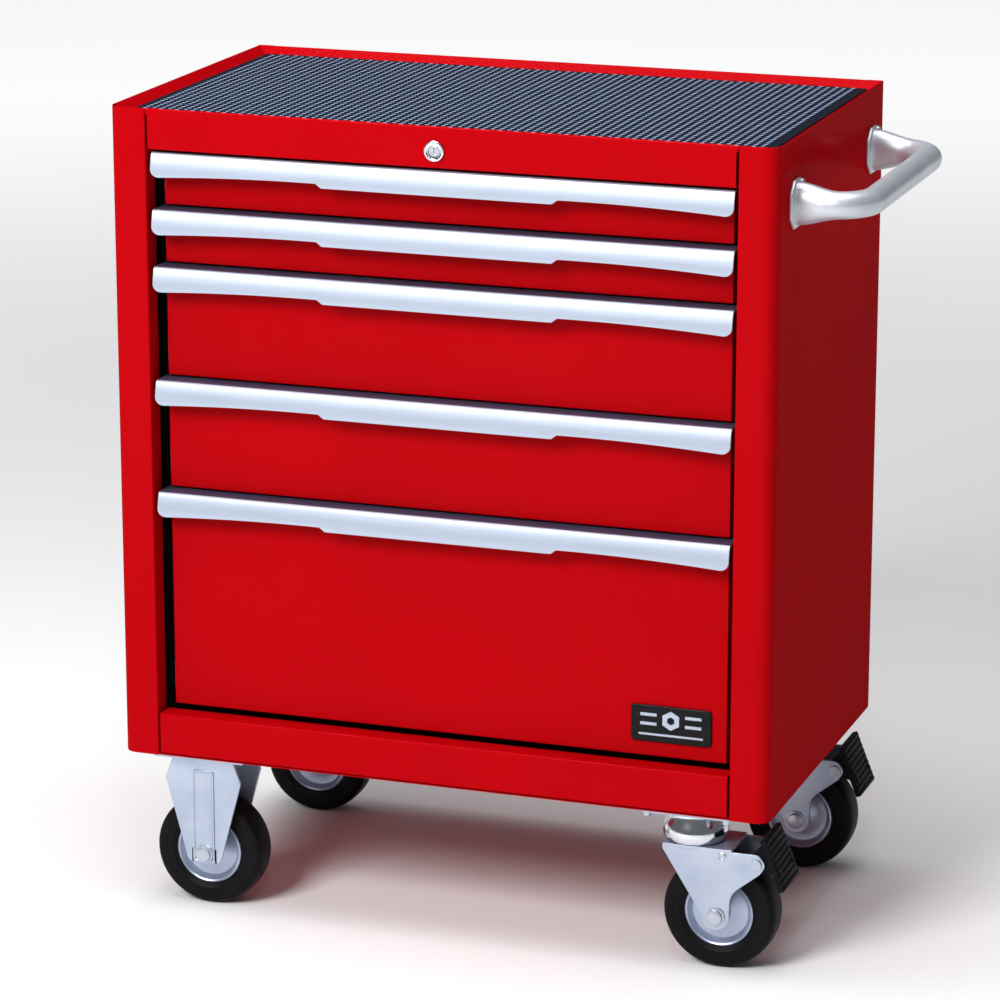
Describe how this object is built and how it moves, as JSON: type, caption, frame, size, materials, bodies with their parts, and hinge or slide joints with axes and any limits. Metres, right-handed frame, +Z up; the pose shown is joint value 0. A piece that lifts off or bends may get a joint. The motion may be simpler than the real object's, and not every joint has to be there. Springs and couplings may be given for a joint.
{
  "type": "tool cart",
  "caption": "Red steel roller tool cabinet with full-width drawer pulls, a matted tray top, a side push handle, and fixed and braked swivel casters.",
  "frame": {"origin": "middle of the whole footprint, push handle included, on the floor under the tyres", "axes": "+Z up; drawers open towards -Y; the push handle is on the +X side"},
  "size_m": [0.816, 0.4232, 0.891],
  "materials": {
    "red_paint": "gloss",
    "silver_aluminium": "satin",
    "zinc_plate": "zinc plated",
    "satin_steel": "satin",
    "chrome_plate": "polished",
    "slide_steel": "zinc plated",
    "mat_rubber": "matt",
    "tyre_rubber": "matt",
    "pedal_plastic": "matt",
    "plate_black": "gloss"
  },
  "bodies": {
    "cabinet": {"left_side_panel": "red_paint", "right_side_panel": "red_paint", "back_panel": "red_paint", "bottom_pan": "red_paint", "tray_top": "red_paint", "top_rail": "red_paint", "bottom_rail": "red_paint", "tray_mat": "mat_rubber", "left_slide_rack": "slide_steel", "right_slide_rack": "slide_steel", "push_handle": "satin_steel", "lock_barrel": "chrome_plate", "front_fixed_bracket": "zinc_plate", "front_fixed_axle_bolt": "zinc_plate", "front_swivel_top_plate": "chrome_plate", "front_swivel_kingpin": "zinc_plate", "rear_fixed_bracket": "zinc_plate", "rear_fixed_axle_bolt": "zinc_plate", "rear_swivel_top_plate": "chrome_plate", "rear_swivel_kingpin": "zinc_plate"},
    "lock": {"lock_plug": "chrome_plate", "lock_rod": "slide_steel"},
    "lock_bar": {"lock_bar": "slide_steel"},
    "drawer_1": {"drawer_1": "red_paint", "drawer_1_pull": "silver_aluminium"},
    "drawer_1_left_slide": {"drawer_1_left_slide": "slide_steel"},
    "drawer_1_right_slide": {"drawer_1_right_slide": "slide_steel"},
    "drawer_2": {"drawer_2": "red_paint", "drawer_2_pull": "silver_aluminium"},
    "drawer_2_left_slide": {"drawer_2_left_slide": "slide_steel"},
    "drawer_2_right_slide": {"drawer_2_right_slide": "slide_steel"},
    "drawer_3": {"drawer_3": "red_paint", "drawer_3_pull": "silver_aluminium"},
    "drawer_3_left_slide": {"drawer_3_left_slide": "slide_steel"},
    "drawer_3_right_slide": {"drawer_3_right_slide": "slide_steel"},
    "drawer_4": {"drawer_4": "red_paint", "drawer_4_pull": "silver_aluminium"},
    "drawer_4_left_slide": {"drawer_4_left_slide": "slide_steel"},
    "drawer_4_right_slide": {"drawer_4_right_slide": "slide_steel"},
    "drawer_5": {"drawer_5": "red_paint", "drawer_5_pull": "silver_aluminium", "nameplate": "plate_black"},
    "drawer_5_left_slide": {"drawer_5_left_slide": "slide_steel"},
    "drawer_5_right_slide": {"drawer_5_right_slide": "slide_steel"},
    "front_fixed_wheel": {"front_fixed_rim": "zinc_plate", "front_fixed_tyre": "tyre_rubber"},
    "front_swivel": {"front_swivel_fork": "zinc_plate", "front_swivel_pedal_pin": "zinc_plate", "front_swivel_axle_bolt": "zinc_plate"},
    "front_swivel_wheel": {"front_swivel_rim": "zinc_plate", "front_swivel_tyre": "tyre_rubber"},
    "front_swivel_pedal": {"front_swivel_brake_pedal": "pedal_plastic"},
    "rear_fixed_wheel": {"rear_fixed_rim": "zinc_plate", "rear_fixed_tyre": "tyre_rubber"},
    "rear_swivel": {"rear_swivel_fork": "zinc_plate", "rear_swivel_pedal_pin": "zinc_plate", "rear_swivel_axle_bolt": "zinc_plate"},
    "rear_swivel_wheel": {"rear_swivel_rim": "zinc_plate", "rear_swivel_tyre": "tyre_rubber"},
    "rear_swivel_pedal": {"rear_swivel_brake_pedal": "pedal_plastic"}
  },
  "joints": [
    {"name": "drawer_1_travel", "type": "slide", "parent": "cabinet", "child": "drawer_1", "axis": [0, -1, 0], "range_m": [0, 0.35]},
    {"name": "drawer_1_left_slide_travel", "type": "slide", "parent": "cabinet", "child": "drawer_1_left_slide", "axis": [0, -1, 0], "range_m": [0, 0.175]},
    {"name": "drawer_1_right_slide_travel", "type": "slide", "parent": "cabinet", "child": "drawer_1_right_slide", "axis": [0, -1, 0], "range_m": [0, 0.175]},
    {"name": "drawer_2_travel", "type": "slide", "parent": "cabinet", "child": "drawer_2", "axis": [0, -1, 0], "range_m": [0, 0.35]},
    {"name": "drawer_2_left_slide_travel", "type": "slide", "parent": "cabinet", "child": "drawer_2_left_slide", "axis": [0, -1, 0], "range_m": [0, 0.175]},
    {"name": "drawer_2_right_slide_travel", "type": "slide", "parent": "cabinet", "child": "drawer_2_right_slide", "axis": [0, -1, 0], "range_m": [0, 0.175]},
    {"name": "drawer_3_travel", "type": "slide", "parent": "cabinet", "child": "drawer_3", "axis": [0, -1, 0], "range_m": [0, 0.35]},
    {"name": "drawer_3_left_slide_travel", "type": "slide", "parent": "cabinet", "child": "drawer_3_left_slide", "axis": [0, -1, 0], "range_m": [0, 0.175]},
    {"name": "drawer_3_right_slide_travel", "type": "slide", "parent": "cabinet", "child": "drawer_3_right_slide", "axis": [0, -1, 0], "range_m": [0, 0.175]},
    {"name": "drawer_4_travel", "type": "slide", "parent": "cabinet", "child": "drawer_4", "axis": [0, -1, 0], "range_m": [0, 0.35]},
    {"name": "drawer_4_left_slide_travel", "type": "slide", "parent": "cabinet", "child": "drawer_4_left_slide", "axis": [0, -1, 0], "range_m": [0, 0.175]},
    {"name": "drawer_4_right_slide_travel", "type": "slide", "parent": "cabinet", "child": "drawer_4_right_slide", "axis": [0, -1, 0], "range_m": [0, 0.175]},
    {"name": "drawer_5_travel", "type": "slide", "parent": "cabinet", "child": "drawer_5", "axis": [0, -1, 0], "range_m": [0, 0.35]},
    {"name": "drawer_5_left_slide_travel", "type": "slide", "parent": "cabinet", "child": "drawer_5_left_slide", "axis": [0, -1, 0], "range_m": [0, 0.175]},
    {"name": "drawer_5_right_slide_travel", "type": "slide", "parent": "cabinet", "child": "drawer_5_right_slide", "axis": [0, -1, 0], "range_m": [0, 0.175]},
    {"name": "lock_turn", "type": "hinge", "parent": "cabinet", "child": "lock", "pos_m": [-0.043, -0.20835, 0.86577], "axis": [0, 1, 0], "range_deg": [0, 90]},
    {"name": "lock_bar_drop", "type": "slide", "parent": "cabinet", "child": "lock_bar", "axis": [0, 0, -1], "range_m": [0, 0.01555]},
    {"name": "front_fixed_wheel_spin", "type": "hinge", "parent": "cabinet", "child": "front_fixed_wheel", "pos_m": [-0.323, -0.15835, 0.06197], "axis": [0, 1, 0], "continuous": true},
    {"name": "front_swivel_turn", "type": "hinge", "parent": "cabinet", "child": "front_swivel", "pos_m": [0.23, -0.15835, 0.14797], "axis": [0, 0, 1], "continuous": true},
    {"name": "front_swivel_wheel_spin", "type": "hinge", "parent": "front_swivel", "child": "front_swivel_wheel", "pos_m": [0.261, -0.15835, 0.06197], "axis": [0, 1, 0], "continuous": true},
    {"name": "front_brake_press", "type": "hinge", "parent": "front_swivel", "child": "front_swivel_pedal", "pos_m": [0.305, -0.15835, 0.12497], "axis": [0, 1, 0], "range_deg": [0, 12]},
    {"name": "rear_fixed_wheel_spin", "type": "hinge", "parent": "cabinet", "child": "rear_fixed_wheel", "pos_m": [-0.323, 0.16165, 0.06197], "axis": [0, 1, 0], "continuous": true},
    {"name": "rear_swivel_turn", "type": "hinge", "parent": "cabinet", "child": "rear_swivel", "pos_m": [0.23, 0.16165, 0.14797], "axis": [0, 0, 1], "continuous": true},
    {"name": "rear_swivel_wheel_spin", "type": "hinge", "parent": "rear_swivel", "child": "rear_swivel_wheel", "pos_m": [0.261, 0.16165, 0.06197], "axis": [0, 1, 0], "continuous": true},
    {"name": "rear_brake_press", "type": "hinge", "parent": "rear_swivel", "child": "rear_swivel_pedal", "pos_m": [0.305, 0.16165, 0.12497], "axis": [0, 1, 0], "range_deg": [0, 12]}
  ],
  "couplings": [
    {"joint": "drawer_1_left_slide_travel", "follows": "drawer_1_travel", "ratio": 0.5},
    {"joint": "drawer_1_right_slide_travel", "follows": "drawer_1_travel", "ratio": 0.5},
    {"joint": "drawer_2_left_slide_travel", "follows": "drawer_2_travel", "ratio": 0.5},
    {"joint": "drawer_2_right_slide_travel", "follows": "drawer_2_travel", "ratio": 0.5},
    {"joint": "drawer_3_left_slide_travel", "follows": "drawer_3_travel", "ratio": 0.5},
    {"joint": "drawer_3_right_slide_travel", "follows": "drawer_3_travel", "ratio": 0.5},
    {"joint": "drawer_4_left_slide_travel", "follows": "drawer_4_travel", "ratio": 0.5},
    {"joint": "drawer_4_right_slide_travel", "follows": "drawer_4_travel", "ratio": 0.5},
    {"joint": "drawer_5_left_slide_travel", "follows": "drawer_5_travel", "ratio": 0.5},
    {"joint": "drawer_5_right_slide_travel", "follows": "drawer_5_travel", "ratio": 0.5},
    {"joint": "lock_turn", "follows": "lock_bar_drop", "rad_per_m": 101}
  ]
}
